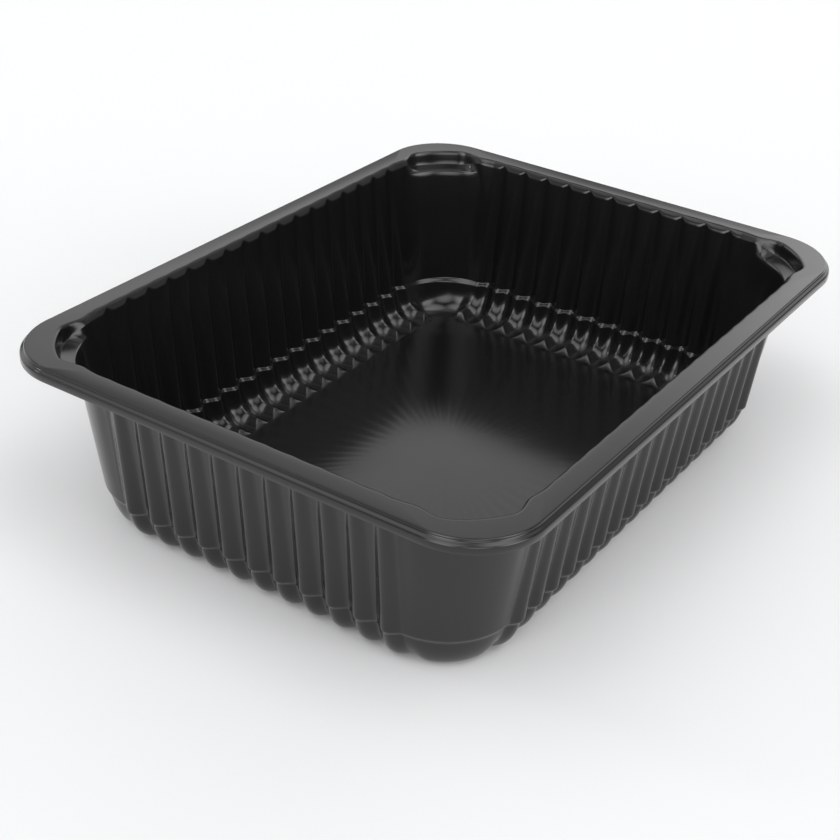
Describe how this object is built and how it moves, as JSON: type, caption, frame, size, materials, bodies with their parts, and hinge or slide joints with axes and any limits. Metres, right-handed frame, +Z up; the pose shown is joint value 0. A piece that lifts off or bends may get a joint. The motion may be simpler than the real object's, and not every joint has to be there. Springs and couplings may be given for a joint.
{
  "type": "plastic food tray",
  "caption": "Deep rectangular ribbed food tray, thin black plastic sheet with a flat sealing flange, rounded corners and a pocketed foot.",
  "frame": {"origin": "centre of the tray's footprint, on the plane its feet stand on", "axes": "+Z up, Y along the long side, X along the short side"},
  "size_m": [0.19, 0.25, 0.0659],
  "materials": {
    "black_sheet": "gloss"
  },
  "bodies": {
    "root": {"tray": "black_sheet"}
  },
  "joints": []
}
